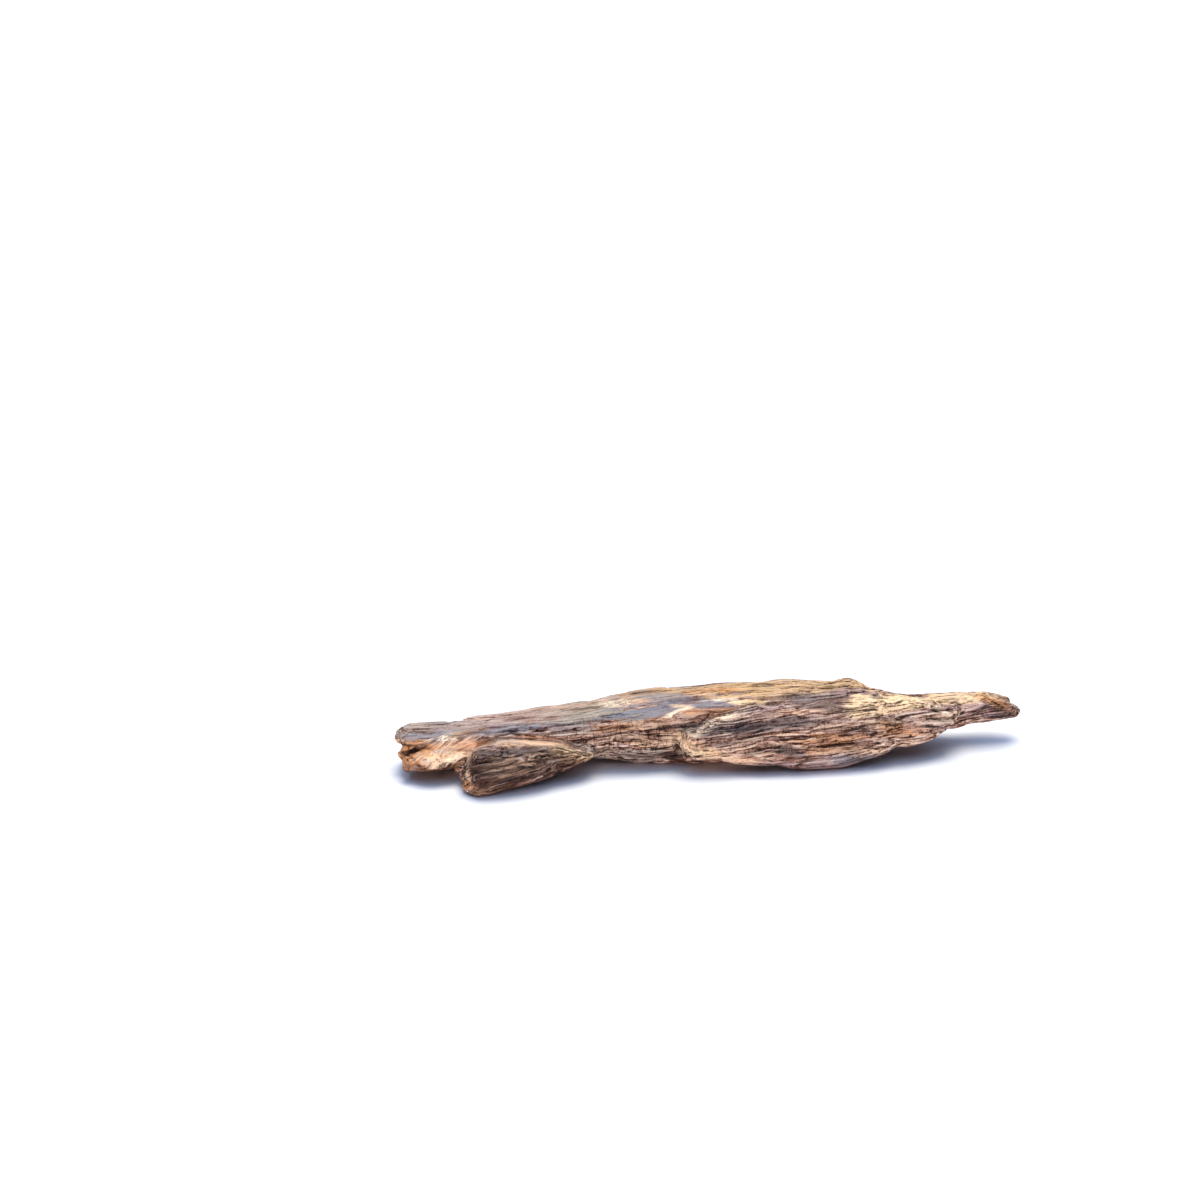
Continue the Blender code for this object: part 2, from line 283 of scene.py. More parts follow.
points = read_vectors(piece.data, "co") / MM
nearest = np.full(len(points), np.inf)
grain = points.copy()
limb_number = np.zeros(len(points), np.float32)
for number, rows in enumerate(GRAIN_LIMBS.values()):
    stations, *columns = np.array(rows).T
    y, z, half_depth, half_height, grain_height = (
        np.interp(points[:, 0], stations, column) for column in columns
    )
    reach = np.hypot((points[:, 1] - y) / half_depth, (points[:, 2] - z) / half_height)
    reach[(points[:, 0] < stations[0]) | (points[:, 0] > stations[-1])] = np.inf
    owned = reach < nearest
    nearest[owned] = reach[owned]
    across = np.stack([points[:, 0], points[:, 1] - y, points[:, 2] - grain_height], axis=1)
    grain[owned] = across[owned]
    limb_number[owned] = number
write_layer(piece.data, "grain", grain, "FLOAT_VECTOR")
write_layer(piece.data, "limb", limb_number)

# The grain sways a little, lies in strands with furrows between them, and has split into long low
# ledges. Lengths and widths are in millimetres.
LIMB_SHIFT = 83.0
SWAY_LENGTH = 7.0
SWAY_WIDTH = 1.1
STRAND_RIM = 0.38
STRAND_CORE = 0.2
STRAND_SCATTER = 0.9
LEDGE_STEPS = 7.0
LEDGE_RISER = 0.25
LUMP_SIZE = 0.7


def calc(tree, operation, *values, clamp=False):
    return put(tree, "ShaderNodeMath", enumerate(values), operation=operation, use_clamp=clamp)


def noise(tree, place, size=1.0, detail=2.0, output=0):
    """Noise in lumps of this size, about 0.5 in the middle."""
    inputs = {"Vector": place, "Scale": 1 / size, "Detail": detail, "Roughness": 0.5}
    return put(tree, "ShaderNodeTexNoise", inputs, output)


def streaky(tree, along, length, width, seed, detail=2.0):
    """Noise drawn out along the grain."""
    size = put(tree, "ShaderNodeCombineXYZ", enumerate((length, width, width)))
    place = calc_vector(tree, "DIVIDE", along, size)
    place = calc_vector(tree, "ADD", place, put(tree, "ShaderNodeCombineXYZ", {"X": seed, "Y": seed}))
    return noise(tree, place, detail=detail)


def thin_lines(tree, along, length, width, seed, thinness):
    """1 on winding lines along the grain and 0 between them."""
    off = calc(tree, "SUBTRACT", streaky(tree, along, length, width, seed, detail=1.0), 0.5)
    off = calc(tree, "MULTIPLY", calc(tree, "ABSOLUTE", off), thinness)
    return calc(tree, "SUBTRACT", 1.0, off, clamp=True)


def strands(tree, along, length, spacing, seed):
    """1 in the middle of strands that lie along the grain, a spacing apart, falling to 0 beside them."""
    size = put(tree, "ShaderNodeCombineXYZ", enumerate((length, spacing, spacing)))
    place = calc_vector(tree, "ADD", calc_vector(tree, "DIVIDE", along, size), (seed, seed, seed))
    inputs = {"Vector": place, "Scale": 1.0, "Randomness": STRAND_SCATTER}
    return ramp(tree, put(tree, "ShaderNodeTexVoronoi", inputs), STRAND_RIM, STRAND_CORE)


def ledges(tree, along, length, width, seed):
    """Long steps one above the other, where layers of the wood have split away."""
    level = calc(tree, "MULTIPLY", streaky(tree, along, length, width, seed), LEDGE_STEPS)
    step = calc(tree, "FLOOR", level)
    riser = ramp(tree, calc(tree, "SUBTRACT", level, step), 0.0, LEDGE_RISER)
    return calc(tree, "DIVIDE", calc(tree, "ADD", step, riser), LEDGE_STEPS)


def wavering_grain(tree, along, limb):
    """Grain coordinates in millimetres that sway a little and differ from limb to limb."""
    apart = calc(tree, "MULTIPLY", limb, LIMB_SHIFT)
    along = calc_vector(tree, "ADD", along, put(tree, "ShaderNodeCombineXYZ", {"X": apart, "Y": apart}))
    sway = noise(tree, along, SWAY_LENGTH, output="Color")
    sway = calc_vector(tree, "SUBTRACT", sway, (0.5, 0.5, 0.5))
    sway = calc_vector(tree, "MULTIPLY", sway, (0.0, SWAY_WIDTH, SWAY_WIDTH))
    return calc_vector(tree, "ADD", along, sway)


layering = bpy.data.node_groups.new("grain_layers", "GeometryNodeTree")
layering.interface.new_socket("Wood", in_out="INPUT", socket_type="NodeSocketGeometry")
layering.interface.new_socket("Wood", in_out="OUTPUT", socket_type="NodeSocketGeometry")
along = wavering_grain(
    layering,
    put(layering, "GeometryNodeInputNamedAttribute", {"Name": "grain"}, data_type="FLOAT_VECTOR"),
    put(layering, "GeometryNodeInputNamedAttribute", {"Name": "limb"}, data_type="FLOAT"),
)
layers = {
    "furrow": thin_lines(layering, along, length=16.0, width=1.1, seed=1.3, thinness=34.0),
    "strand": strands(layering, along, length=14.0, spacing=0.62, seed=3.3),
    "fibre": thin_lines(layering, along, length=11.0, width=0.55, seed=7.9, thinness=26.0),
    "ledge": ledges(layering, along, length=22.0, width=2.1, seed=4.1),
    "fray": streaky(layering, along, length=5.0, width=0.5, seed=4.7, detail=3.0),
    "lump": noise(layering, along, LUMP_SIZE, detail=3.0),
}
layered = layering.nodes.new("NodeGroupInput").outputs["Wood"]
for name, field in layers.items():
    layered = put(
        layering,
        "GeometryNodeStoreNamedAttribute",
        {"Geometry": layered, "Name": name, "Value": field},
        data_type="FLOAT",
    )
feed(layering, layering.nodes.new("NodeGroupOutput").inputs["Wood"], layered)
apply_modifier(piece, "NODES", node_group=layering)

# The colours that weather and resin have given the wood; "dark" also paints shade in a few hollows.
PALETTE = {
    "dark": (0.085, 0.036, 0.02, 1.0),
    "umber": (0.27, 0.145, 0.085, 1.0),
    "plum": (0.235, 0.135, 0.095, 1.0),
    "resin": (0.062, 0.030, 0.019, 1.0),
    "ink": (0.175, 0.135, 0.125, 1.0),
    "mauve": (0.50, 0.345, 0.315, 1.0),
    # Partly the grey of weathered wood, partly painted sheen of the bluish sky on smooth wood.
    "blue_grey_and_sky_sheen": (0.235, 0.235, 0.26, 1.0),
    "grey": (0.40, 0.345, 0.27, 1.0),
    "orange": (0.62, 0.30, 0.13, 1.0),
    "tan": (0.74, 0.49, 0.32, 1.0),
    "sand": (0.69, 0.44, 0.235, 1.0),
    "yellow": (0.98, 0.7, 0.42, 1.0),
    "straw": (0.86, 0.6, 0.39, 1.0),
    "pale": (1.0, 0.78, 0.56, 1.0),
}

# The stains on the side that shows, and among them a few rows of painted shade in hollows and under
# the nose of the scale. Each row: the stain, its two ends as they are seen from the camera, in
# millimetres right of the piece's middle and above it, its half width, and how much of it covers the
# wood.
STAINS_AND_PAINTED_SHADE = (
    # The top face, from the butt to the middle
    ("grey", -45.0, 1.5, -33.4, 2.4, 0.58, 0.4),
    ("tan", -33.4, 3.2, -21.8, 4.4, 0.51, 0.4),
    ("tan", -21.8, 4.5, -16.0, 5.6, 0.43, 0.4),
    ("grey", -24.7, 3.7, -16.0, 4.2, 0.36, 0.5),
    ("blue_grey_and_sky_sheen", -43.2, 0.2, -37.4, 0.6, 0.65, 0.7),
    ("pale", -38.6, 0.2, -37.0, 0.5, 0.26, 0.85),
    ("grey", -45.4, 0.6, -44.4, -0.4, 0.43, 0.6),
    ("pale", -45.4, -0.4, -37.0, -0.2, 0.26, 0.6),
    ("umber", -37.0, 0.5, -33.1, 1.3, 0.32, 0.75),
    ("blue_grey_and_sky_sheen", -31.9, 1.1, -26.1, 1.5, 0.65, 0.7),
    ("blue_grey_and_sky_sheen", -23.9, 1.5, -18.9, 1.9, 0.51, 0.5),
    ("grey", -19.6, 2.9, -10.2, 3.5, 0.72, 0.7),
    ("blue_grey_and_sky_sheen", -16.0, 2.8, -11.6, 3.2, 0.36, 0.5),
    ("blue_grey_and_sky_sheen", -10.2, 4.1, -5.2, 4.7, 1.16, 0.85),
    ("ink", -8.0, 6.3, -4.1, 6.0, 0.51, 0.6),
    ("pale", -15.2, 5.1, -12.2, 5.3, 0.46, 0.85),
    ("orange", -11.3, 6.4, -7.0, 7.0, 0.65, 0.7),
    ("yellow", -5.2, 4.7, -2.9, 4.7, 0.23, 0.7),
    # The butt, the flap and the band
    ("tan", -40.0, -1.6, -35.1, -0.8, 0.58, 0.8),
    ("straw", -40.6, -2.7, -36.3, -1.7, 0.92, 1.0),
    ("straw", -39.2, -3.9, -36.0, -2.6, 0.87, 0.95),
    ("pale", -39.7, -2.1, -37.4, -1.4, 0.29, 0.6),
    ("pale", -38.3, -3.4, -36.6, -2.7, 0.23, 0.6),
    ("pale", -42.1, -2.7, -40.3, -2.0, 0.29, 0.6),
    ("orange", -44.8, -1.5, -42.6, -1.8, 0.87, 0.9),
    ("orange", -45.1, -2.7, -43.8, -3.4, 1.01, 0.9),
    ("umber", -44.6, -4.2, -42.3, -4.4, 0.43, 0.85),
    # Painted shade in the pit above the flap.
    ("dark", -43.8, -2.1, -42.1, -1.4, 0.36, 0.85),
    ("orange", -39.5, -4.8, -37.4, -4.4, 0.45, 0.6),
    # Painted shade in the hollow under the flap's torn lower edge.
    ("dark", -38.7, -4.7, -36.0, -4.9, 0.72, 0.9),
    ("tan", -34.8, -1.1, -26.1, -0.7, 0.43, 0.5),
    ("tan", -26.1, -0.7, -21.0, -1.3, 0.32, 0.85),
    ("yellow", -22.5, -2.0, -17.7, -2.7, 0.51, 0.85),
    ("sand", -21.0, -3.1, -17.7, -3.1, 0.36, 0.7),
    ("umber", -30.5, 0.2, -21.8, -0.1, 0.43, 0.45),
    # The knob
    ("resin", -33.1, -2.6, -23.5, -2.1, 0.87, 0.68),
    ("resin", -33.9, -4.2, -21.0, -3.1, 1.01, 0.66),
    ("straw", -27.6, -3.3, -23.9, -2.7, 0.14, 0.4),
    ("tan", -30.9, -5.9, -27.6, -5.3, 0.14, 0.35),
    ("straw", -32.2, -4.0, -29.6, -3.6, 0.17, 0.4),
    ("straw", -28.7, -4.6, -26.1, -3.9, 0.17, 0.35),
    ("tan", -31.6, -2.7, -28.7, -2.4, 0.17, 0.4),
    ("resin", -33.7, -5.9, -24.7, -4.9, 1.01, 0.75),
    ("ink", -32.2, -2.4, -27.6, -1.8, 0.36, 0.6),
    ("tan", -35.3, -3.4, -35.1, -5.5, 0.36, 0.8),
    ("orange", -35.8, -6.5, -34.5, -7.2, 0.36, 0.8),
    ("umber", -33.9, -7.8, -29.0, -7.1, 0.51, 0.9),
    ("resin", -34.8, -3.7, -33.4, -5.9, 0.58, 0.5),
    ("dark", -33.4, -6.5, -26.8, -5.9, 0.36, 0.7),
    ("tan", -29.7, -3.3, -23.9, -2.1, 0.17, 0.35),
    ("tan", -31.6, -4.7, -26.1, -3.7, 0.14, 0.3),
    ("tan", -30.5, -5.6, -23.9, -4.3, 0.14, 0.35),
    ("plum", -24.7, -4.9, -18.9, -3.4, 0.72, 0.5),
    # The front of the trunk
    ("orange", -16.0, 1.5, -11.3, 1.6, 0.43, 0.5),
    ("yellow", -10.8, -0.8, -8.0, -1.7, 0.43, 0.3),
    ("tan", -17.4, -0.5, -11.3, -0.2, 0.43, 0.25),
    # Painted shade on the trunk under the nose of the scale, partly the trunk's own dark mauve.
    ("ink", -8.7, -2.0, -3.8, -2.1, 0.43, 0.35),
    ("grey", -16.0, -2.7, -2.9, -3.0, 0.58, 0.6),
    ("grey", -16.0, -1.8, -7.3, -2.0, 0.29, 0.5),
    ("umber", -16.6, 0.3, -5.5, 0.5, 1.16, 0.3),
    ("tan", -10.2, 1.9, -6.1, 2.4, 0.43, 0.6),
    ("umber", -6.4, 1.2, -5.5, -2.0, 0.58, 0.6),
    # Painted shade where the trunk lies under the nose of the scale.
    ("dark", -6.1, -2.3, -4.1, -3.0, 0.51, 0.8),
    # The crest, the ridge and the top band
    ("pale", -5.8, 3.4, -0.9, 5.3, 0.29, 0.75),
    ("pale", -0.9, 5.4, 3.7, 5.7, 0.29, 0.85),
    ("blue_grey_and_sky_sheen", -1.5, 4.7, 3.6, 5.0, 0.59, 0.8),
    ("yellow", 3.7, 5.1, 6.6, 5.1, 0.51, 0.9),
    ("orange", -2.9, 3.8, 2.6, 4.1, 0.41, 0.6),
    ("umber", -1.8, 2.8, 1.7, 3.4, 0.36, 0.8),
    ("tan", -10.2, 5.6, -1.5, 6.4, 0.43, 0.6),
    ("sand", -5.5, 6.9, 7.2, 7.4, 0.87, 0.8),
    ("sand", 5.8, 7.3, 22.6, 7.6, 1.01, 0.8),
    ("blue_grey_and_sky_sheen", -8.0, 6.0, -2.6, 5.6, 0.58, 0.65),
    ("orange", -2.9, 6.7, 2.9, 7.0, 0.29, 0.6),
    # The scale
    ("grey", -3.8, 0.9, -1.5, 1.5, 0.58, 0.6),
    ("straw", -3.8, -0.8, -0.9, -2.0, 1.16, 0.8),
    ("yellow", -2.9, -2.0, 0.3, -2.7, 0.58, 0.8),
    ("orange", -3.2, -0.5, -0.3, -1.7, 0.72, 0.3),
    ("yellow", -4.4, -0.2, -3.5, -2.0, 0.38, 0.7),
    ("pale", -3.4, -2.3, -1.2, -3.3, 0.29, 0.6),
    ("pale", -0.9, 1.3, 4.3, 3.7, 0.43, 0.85),
    ("mauve", 4.3, 3.8, 9.4, 4.7, 0.43, 0.5),
    ("ink", 0.8, 1.1, 13.0, 2.4, 0.72, 0.8),
    ("plum", 0.8, -0.5, 7.2, 0.0, 0.48, 0.5),
    ("tan", 3.7, -1.7, 10.8, -1.4, 0.87, 0.45),
    ("pale", 6.5, -2.4, 8.1, -3.0, 0.23, 0.8),
    ("tan", -1.5, -3.1, 8.7, -3.6, 0.43, 0.7),
    ("mauve", 8.7, -3.9, 20.3, -4.2, 0.51, 0.7),
    ("ink", 11.3, -2.0, 13.0, -2.6, 0.72, 0.6),
    ("umber", 12.4, -4.2, 13.3, -3.7, 0.29, 0.8),
    ("ink", 13.6, 5.4, 22.0, 4.0, 1.01, 0.65),
    ("blue_grey_and_sky_sheen", 13.0, 6.0, 18.1, 6.4, 0.43, 0.25),
    ("mauve", 19.1, 6.6, 23.4, 6.7, 0.51, 0.7),
    ("yellow", 22.6, 4.7, 28.7, 5.4, 1.01, 0.95),
    ("yellow", 21.1, 3.5, 25.3, 3.8, 0.51, 0.65),
    ("tan", 28.2, 5.6, 31.9, 5.3, 0.36, 0.6),
    ("orange", 15.2, -0.2, 20.6, 0.0, 0.72, 0.6),
    ("orange", 15.9, -1.8, 20.3, -1.4, 0.58, 0.5),
    ("orange", 25.8, 1.6, 29.5, 1.2, 0.72, 0.7),
    ("plum", 20.3, 0.9, 25.3, 1.2, 0.43, 0.2),
    ("mauve", 29.8, 1.8, 33.0, 1.8, 0.72, 0.5),
    ("pale", 33.0, 2.8, 35.2, 2.9, 0.72, 0.5),
    ("pale", 31.9, 4.7, 33.6, 4.2, 0.36, 0.7),
    ("blue_grey_and_sky_sheen", 19.1, -3.1, 23.4, -2.7, 0.51, 0.7),
    ("tan", 21.7, -2.0, 28.2, -0.8, 0.72, 0.5),
    # The tail
    ("yellow", 27.5, 5.8, 39.8, 6.1, 0.65, 0.85),
    ("straw", 34.8, 5.1, 40.6, 5.6, 0.29, 0.7),
    ("tan", 15.2, 1.6, 27.5, 2.4, 0.58, 0.3),
    ("mauve", 35.5, 4.4, 40.6, 4.7, 0.43, 0.7),
    ("mauve", 36.9, 3.4, 42.3, 3.5, 0.43, 0.6),
    ("orange", 40.0, 5.7, 42.4, 4.8, 0.51, 0.9),
    ("plum", 42.6, 4.2, 44.3, 3.8, 0.8, 0.55),
)

# The stains on the back. Each row: the stain, x, y, z of its two ends, its half width, and how much
# of it covers the wood.
BACK_STAINS = (
    ("mauve", -38.0, 2.6, 4.6, -24.0, 4.6, 5.2, 1.3, 0.45),
    ("tan", -30.0, 3.6, 2.6, -14.0, 6.4, 3.0, 1.1, 0.45),
    ("grey", -18.0, 6.0, 6.8, -6.0, 7.4, 7.4, 1.2, 0.5),
    ("blue_grey_and_sky_sheen", -3.0, 8.2, 6.6, 8.0, 8.8, 6.8, 1.0, 0.6),
    ("orange", -9.0, 7.4, 3.4, 3.0, 8.2, 3.0, 0.9, 0.5),
    ("umber", 2.0, 8.8, 4.4, 17.0, 8.6, 4.2, 0.9, 0.55),
    ("tan", 14.0, 8.4, 7.6, 27.0, 8.0, 6.8, 1.1, 0.55),
    ("yellow", 26.0, 7.9, 5.2, 38.0, 8.9, 5.6, 0.8, 0.5),
    ("mauve", 16.0, 7.6, 2.2, 27.0, 7.4, 3.0, 0.8, 0.5),
)

# Creases and raised edges on the side that shows; the colour in the creases is darkened as painted
# shade. Each row: the two ends as they are seen from the camera, the half width, and how far the
# surface stands out.
CARVING = (
    # Between the flap and the knob
    (-35.7, -4.6, -35.8, -3.4, 0.35, -0.35),
    (-35.8, -3.3, -35.0, -2.2, 0.32, -0.4),
    # Along the top of the knob
    (-34.8, -2.2, -33.2, -1.6, 0.2, -0.35),
    (-33.2, -1.6, -29.7, -1.4, 0.17, -0.25),
    (-29.7, -1.4, -23.5, -1.9, 0.17, -0.2),
    # The pit above the flap, and its torn lower edge
    (-44.4, -2.4, -42.9, -1.7, 0.29, -0.3),
    (-42.9, -1.7, -40.9, -1.4, 0.23, -0.25),
    (-43.4, -2.7, -42.3, -4.0, 0.2, -0.25),
    (-42.3, -4.0, -40.0, -4.7, 0.2, -0.25),
    (-40.0, -4.7, -38.6, -4.8, 0.2, -0.2),
    # Tears in the flap
    (-37.0, -1.3, -41.3, -2.7, 0.13, -0.05),
    (-35.4, -1.4, -40.6, -3.6, 0.13, -0.05),
    (-36.3, -2.7, -39.7, -4.6, 0.13, -0.05),
    # Above the butt
    (-37.0, 0.5, -33.1, 1.3, 0.2, -0.15),
    (-33.1, 1.3, -29.7, 1.8, 0.17, -0.1),
    # The raised pale band
    (-39.2, -1.1, -34.1, -0.5, 0.43, 0.15),
    (-34.1, -0.5, -23.9, -1.0, 0.43, 0.15),
    (-23.9, -1.0, -18.1, -2.1, 0.29, 0.12),
    # Round the blunt nose of the scale
    (-5.0, 0.0, -4.8, -1.3, 0.35, -0.3),
    (-4.8, -1.4, -3.2, -2.7, 0.35, -0.4),
    (-3.2, -2.9, -1.2, -3.6, 0.29, -0.4),
    (-3.9, 1.5, -5.0, 0.0, 0.29, -0.2),
    (-3.8, -0.4, -3.1, -2.0, 0.36, 0.12),
    # Under the crest
    (-1.5, 3.2, 2.0, 3.7, 0.22, -0.15),
    # Along the scale
    (0.8, 1.1, 13.0, 2.8, 0.19, -0.14),
    (1.7, -0.1, 13.0, 1.2, 0.17, -0.12),
    (4.6, -1.0, 22.9, 1.3, 0.17, -0.12),
    (14.8, 0.2, 27.8, 2.8, 0.17, -0.12),
    (14.8, -1.3, 28.2, 0.8, 0.17, -0.12),
    # Between the tip of the scale and the tail
    (28.1, 6.3, 30.7, 6.0, 0.2, -0.15),
    (30.7, 6.0, 33.0, 5.3, 0.22, -0.22),
    (33.0, 5.3, 35.5, 3.1, 0.22, -0.25),
    # The raised tip and its notch
    (28.2, 5.7, 32.4, 4.7, 0.29, 0.08),
    (32.4, 4.7, 34.9, 2.9, 0.29, 0.12),
    (32.6, 4.0, 33.3, 3.9, 0.14, -0.35),
    # Along the tail
    (35.9, 3.4, 42.0, 4.0, 0.17, -0.12),
    (39.8, 6.0, 42.4, 4.5, 0.19, -0.15),
    # A small pit low on the scale
    (12.6, -4.2, 13.3, -3.6, 0.23, -0.25),
    (12.3, -3.4, 13.4, -3.1, 0.17, 0.12),
)

# Where the wood is checked across the grain, where it is rubbed smooth, and where it is rough and
# felted, in the same form as the stains on the back.
CHECKED = (
    (-16.0, -2.4, 6.2, -4.0, -2.4, 5.2, 2.0, 1.0),
    (-12.0, -2.0, 5.0, -4.5, -2.4, 4.0, 1.6, 0.7),
    (32.0, 1.6, 7.0, 33.4, 2.6, 4.6, 1.6, 0.25),
    (2.0, -3.0, 6.0, 14.0, -2.4, 6.0, 2.4, 0.35),
)
SMOOTH = (
    (-43.3, -4.6, 6.9, -30.0, -1.9, 7.2, 1.0, 0.7),
    (-24.0, 0.0, 8.2, -4.0, 0.6, 9.6, 2.4, 0.7),
    (-1.0, 0.2, 9.4, 3.5, 0.2, 9.8, 0.7, 0.8),
    (-2.7, 2.6, 10.6, 22.9, 5.9, 9.5, 2.2, 0.2),
    (-42.0, -6.0, 3.8, -36.0, -4.6, 4.8, 1.9, 0.85),
    (-35.6, -4.3, 5.4, -24.0, -4.4, 5.6, 0.8, 0.9),
    (-3.4, -3.2, 5.4, -1.0, -3.9, 4.0, 1.3, 0.6),
    (27.3, 2.5, 9.5, 40.6, 6.7, 7.0, 1.2, 0.5),
    (-1.0, -4.2, 3.1, 20.5, -2.2, 1.0, 0.9, 0.5),
)
FELTED = (
    (-44.8, -3.4, 4.4, -42.4, -5.0, 3.4, 1.8, 1.0),
    (-23.6, -6.0, 5.4, -18.2, -5.2, 4.3, 0.9, 0.6),
    (33.7, 2.6, 5.2, 35.6, 3.7, 5.3, 0.9, 0.8),
)

# A stain or crease is wider on wood that is seen aslant, up to so many times its width. Only a share of
# the distance in depth counts as distance from it. It fades out past its ends and has a frayed edge.
STAIN_WIDEST = 1.35
CREASE_WIDEST = 1.25
DEPTH_SHARE = 0.25
END_FADE = 3.5
FRAY = 4.0
LEAST_COVER = 0.001


def on_wood(right, up):
    """The point of the solid that the camera sees there, in millimetres, and how squarely it faces."""
    aim = PIECE_MIDDLE + picture_up * up * MM
    aim.x += right * MM
    place, normal, *_ = shell.ray_cast(eye, (aim - eye).normalized())
    if place is None:
        place, normal, *_ = shell.find_nearest(aim)
    return np.array(place) / MM, abs(normal.dot(towards_camera))


def in_depth(row, widest):
    """The same row with x, y, z of both ends on the wood, and its real half width."""
    right_a, up_a, right_b, up_b, half_width, share = row
    start, start_squarely = on_wood(right_a, up_a)
    end, end_squarely = on_wood(right_b, up_b)
    squarely = (start_squarely + end_squarely) / 2
    return (*start, *end, half_width / max(squarely, 1 / widest), share)


def smoothstep(value, low, high):
    share = np.clip((value - low) / (high - low), 0.0, 1.0)
    return share * share * (3 - 2 * share)


def ribbon(row, full=0.65, gone=1.35, frayed=1.0):
    """How much of a row's share each point has: all of it along its middle, none past its edges."""
    start, end = np.array(row[0:3]), np.array(row[3:6])
    half_width, share = row[6:8]
    length = np.linalg.norm(end - start)
    way = (end - start) / length
    lengthways = (points - start) @ way
    away = points - start - lengthways[:, None] * way
    deep = away @ np.array(towards_camera)
    beyond = np.abs(lengthways - length / 2) - length / 2 + half_width
    beyond = np.maximum(beyond, 0.0) / END_FADE
    reach = np.sqrt((away**2).sum(1) - (1 - DEPTH_SHARE**2) * deep**2 + beyond**2)
    return smoothstep(reach / half_width + fray * frayed, gone, full) * share


def most(rows):
    """The greatest share that any of the rows has at each point."""
    return np.max([ribbon(row) for row in rows], axis=0)


solid_points = [vertex.co for vertex in solid.data.vertices]
shell = BVHTree.FromPolygons(solid_points, [list(face.vertices) for face in solid.data.polygons])
facing = read_vectors(piece.data, "normal")
fray = (read_layer(piece.data, "fray") - 0.5) * FRAY
stains_and_painted_shade = [(finish, in_depth(row, STAIN_WIDEST)) for finish, *row in STAINS_AND_PAINTED_SHADE]
stains_and_painted_shade += [(finish, row) for finish, *row in BACK_STAINS]
creases = [in_depth(row, CREASE_WIDEST) for row in CARVING]

# The stains are laid over one another, and the rows of painted shade and sky sheen are laid with them.
cover = np.zeros(len(points))
stain_and_painted_light = np.zeros((len(points), 4))
for finish, row in stains_and_painted_shade:
    mask = ribbon(row)
    cover = cover * (1 - mask) + mask
    stain_and_painted_light = stain_and_painted_light * (1 - mask[:, None]) + np.array(PALETTE[finish]) * mask[:, None]
stain_and_painted_light[:, :3] /= np.maximum(cover, LEAST_COVER)[:, None]
stain_and_painted_light[:, 3] = 1.0
checked, smooth, felted = most(CHECKED), most(SMOOTH), most(FELTED)
carved = sum(ribbon(row, full=0.2, gone=1.3, frayed=0.15) for row in creases)

# Ledges, furrows, the hollows that the soft strands leave, fine fibres and lumps are worn into the
# surface, in millimetres, and hardly at all where it is rubbed smooth.
LEDGE_HEIGHT = 0.4
FURROW_DEPTH = 0.14
STRAND_DEPTH = 0.17
FIBRE_DEPTH = 0.12
LUMP_HEIGHT = 0.45
DEEP_CREASE = 0.45
SMOOTHED_AWAY = 0.7
furrow, strand, fibre, ledge, lump = (
    read_layer(piece.data, name) for name in ("furrow", "strand", "fibre", "ledge", "lump")
)
calm = 1 - SMOOTHED_AWAY * smooth
height = (ledge - 0.5) * LEDGE_HEIGHT * calm
height -= (furrow * FURROW_DEPTH + strand * STRAND_DEPTH + fibre * FIBRE_DEPTH) * calm
height += carved
height += (lump - 0.5) * LUMP_HEIGHT * felted
worn = (points + facing * height[:, None]) * MM
worn[:, 2] = np.maximum(worn[:, 2], 0.0)
piece.data.vertices.foreach_set("co", worn.astype(np.float32).ravel())
piece.data.update()
piece.data.shade_smooth()
write_layer(piece.data, "stain_and_painted_light", stain_and_painted_light, "FLOAT_COLOR")
write_layer(piece.data, "stain_and_painted_light_cover", cover)
write_layer(piece.data, "calm", calm)
write_layer(piece.data, "checks", checked)
# Painted shade for the creases: how deep each one is cut, for darkening the colour there.
write_layer(piece.data, "crease", np.clip(-carved / DEEP_CREASE, 0.0, 1.0))
write_layer(piece.data, "upward", facing[:, 2])

# The finish of the wood: its tone varies in streaks along the grain, in dark dashes of resin, cracks
# and specks, and painted shade darkens it in every hollow. What looks up at the sky has greyed, the
# stains lie over that, and painted shade darkens what looks down.
MIDDLE_TONE = 0.75
WOOD_TONES = (
    (0.0, (0.060, 0.023, 0.013, 1.0)),
    (0.25, (0.210, 0.092, 0.054, 1.0)),
    (0.5, (0.44, 0.25, 0.180, 1.0)),
    (0.75, (0.68, 0.45, 0.335, 1.0)),
    (1.0, (0.93, 0.73, 0.565, 1.0)),
)
TAWNY_TINT = (1.14, 0.96, 0.74, 1.0)
UNDERSIDE_PAINTED_SHADE = (0.62, 0.58, 0.60, 1.0)
WOOD_GLOSS = 0.22
SPECK_SIZE = 0.3
CHECK_WIDENING = (1.0, 0.3, 0.3)
PATCH_CORE = 0.62
PATCH_SHARE = 0.6
RELIEF_STRENGTH = 0.8
RELIEF_HEIGHT = 0.08 * MM

streaks = bpy.data.node_groups.new("grain_streaks", "ShaderNodeTree")
for socket, kind in (("Grain", "Vector"), ("Length", "Float"), ("Width", "Float"), ("Seed", "Float")):
    streaks.interface.new_socket(socket, in_out="INPUT", socket_type="NodeSocket" + kind)
for socket in ("Shade", "Sharp shade"):
    streaks.interface.new_socket(socket, in_out="OUTPUT", socket_type="NodeSocketFloat")
given = streaks.nodes.new("NodeGroupInput").outputs
group_end = streaks.nodes.new("NodeGroupOutput")
drawn_out = streaky(streaks, given["Grain"], given["Length"], given["Width"], given["Seed"])
feed(streaks, group_end.inputs["Shade"], drawn_out)
feed(streaks, group_end.inputs["Sharp shade"], ramp(streaks, drawn_out, low=0.41, high=0.59))

wood = bpy.data.materials.new("agarwood_heartwood")
wood.use_nodes = True
tree = wood.node_tree
shader = tree.nodes["Principled BSDF"]


def layer(name, output="Fac"):
    return put(tree, "ShaderNodeAttribute", attribute_name=name, output=output)


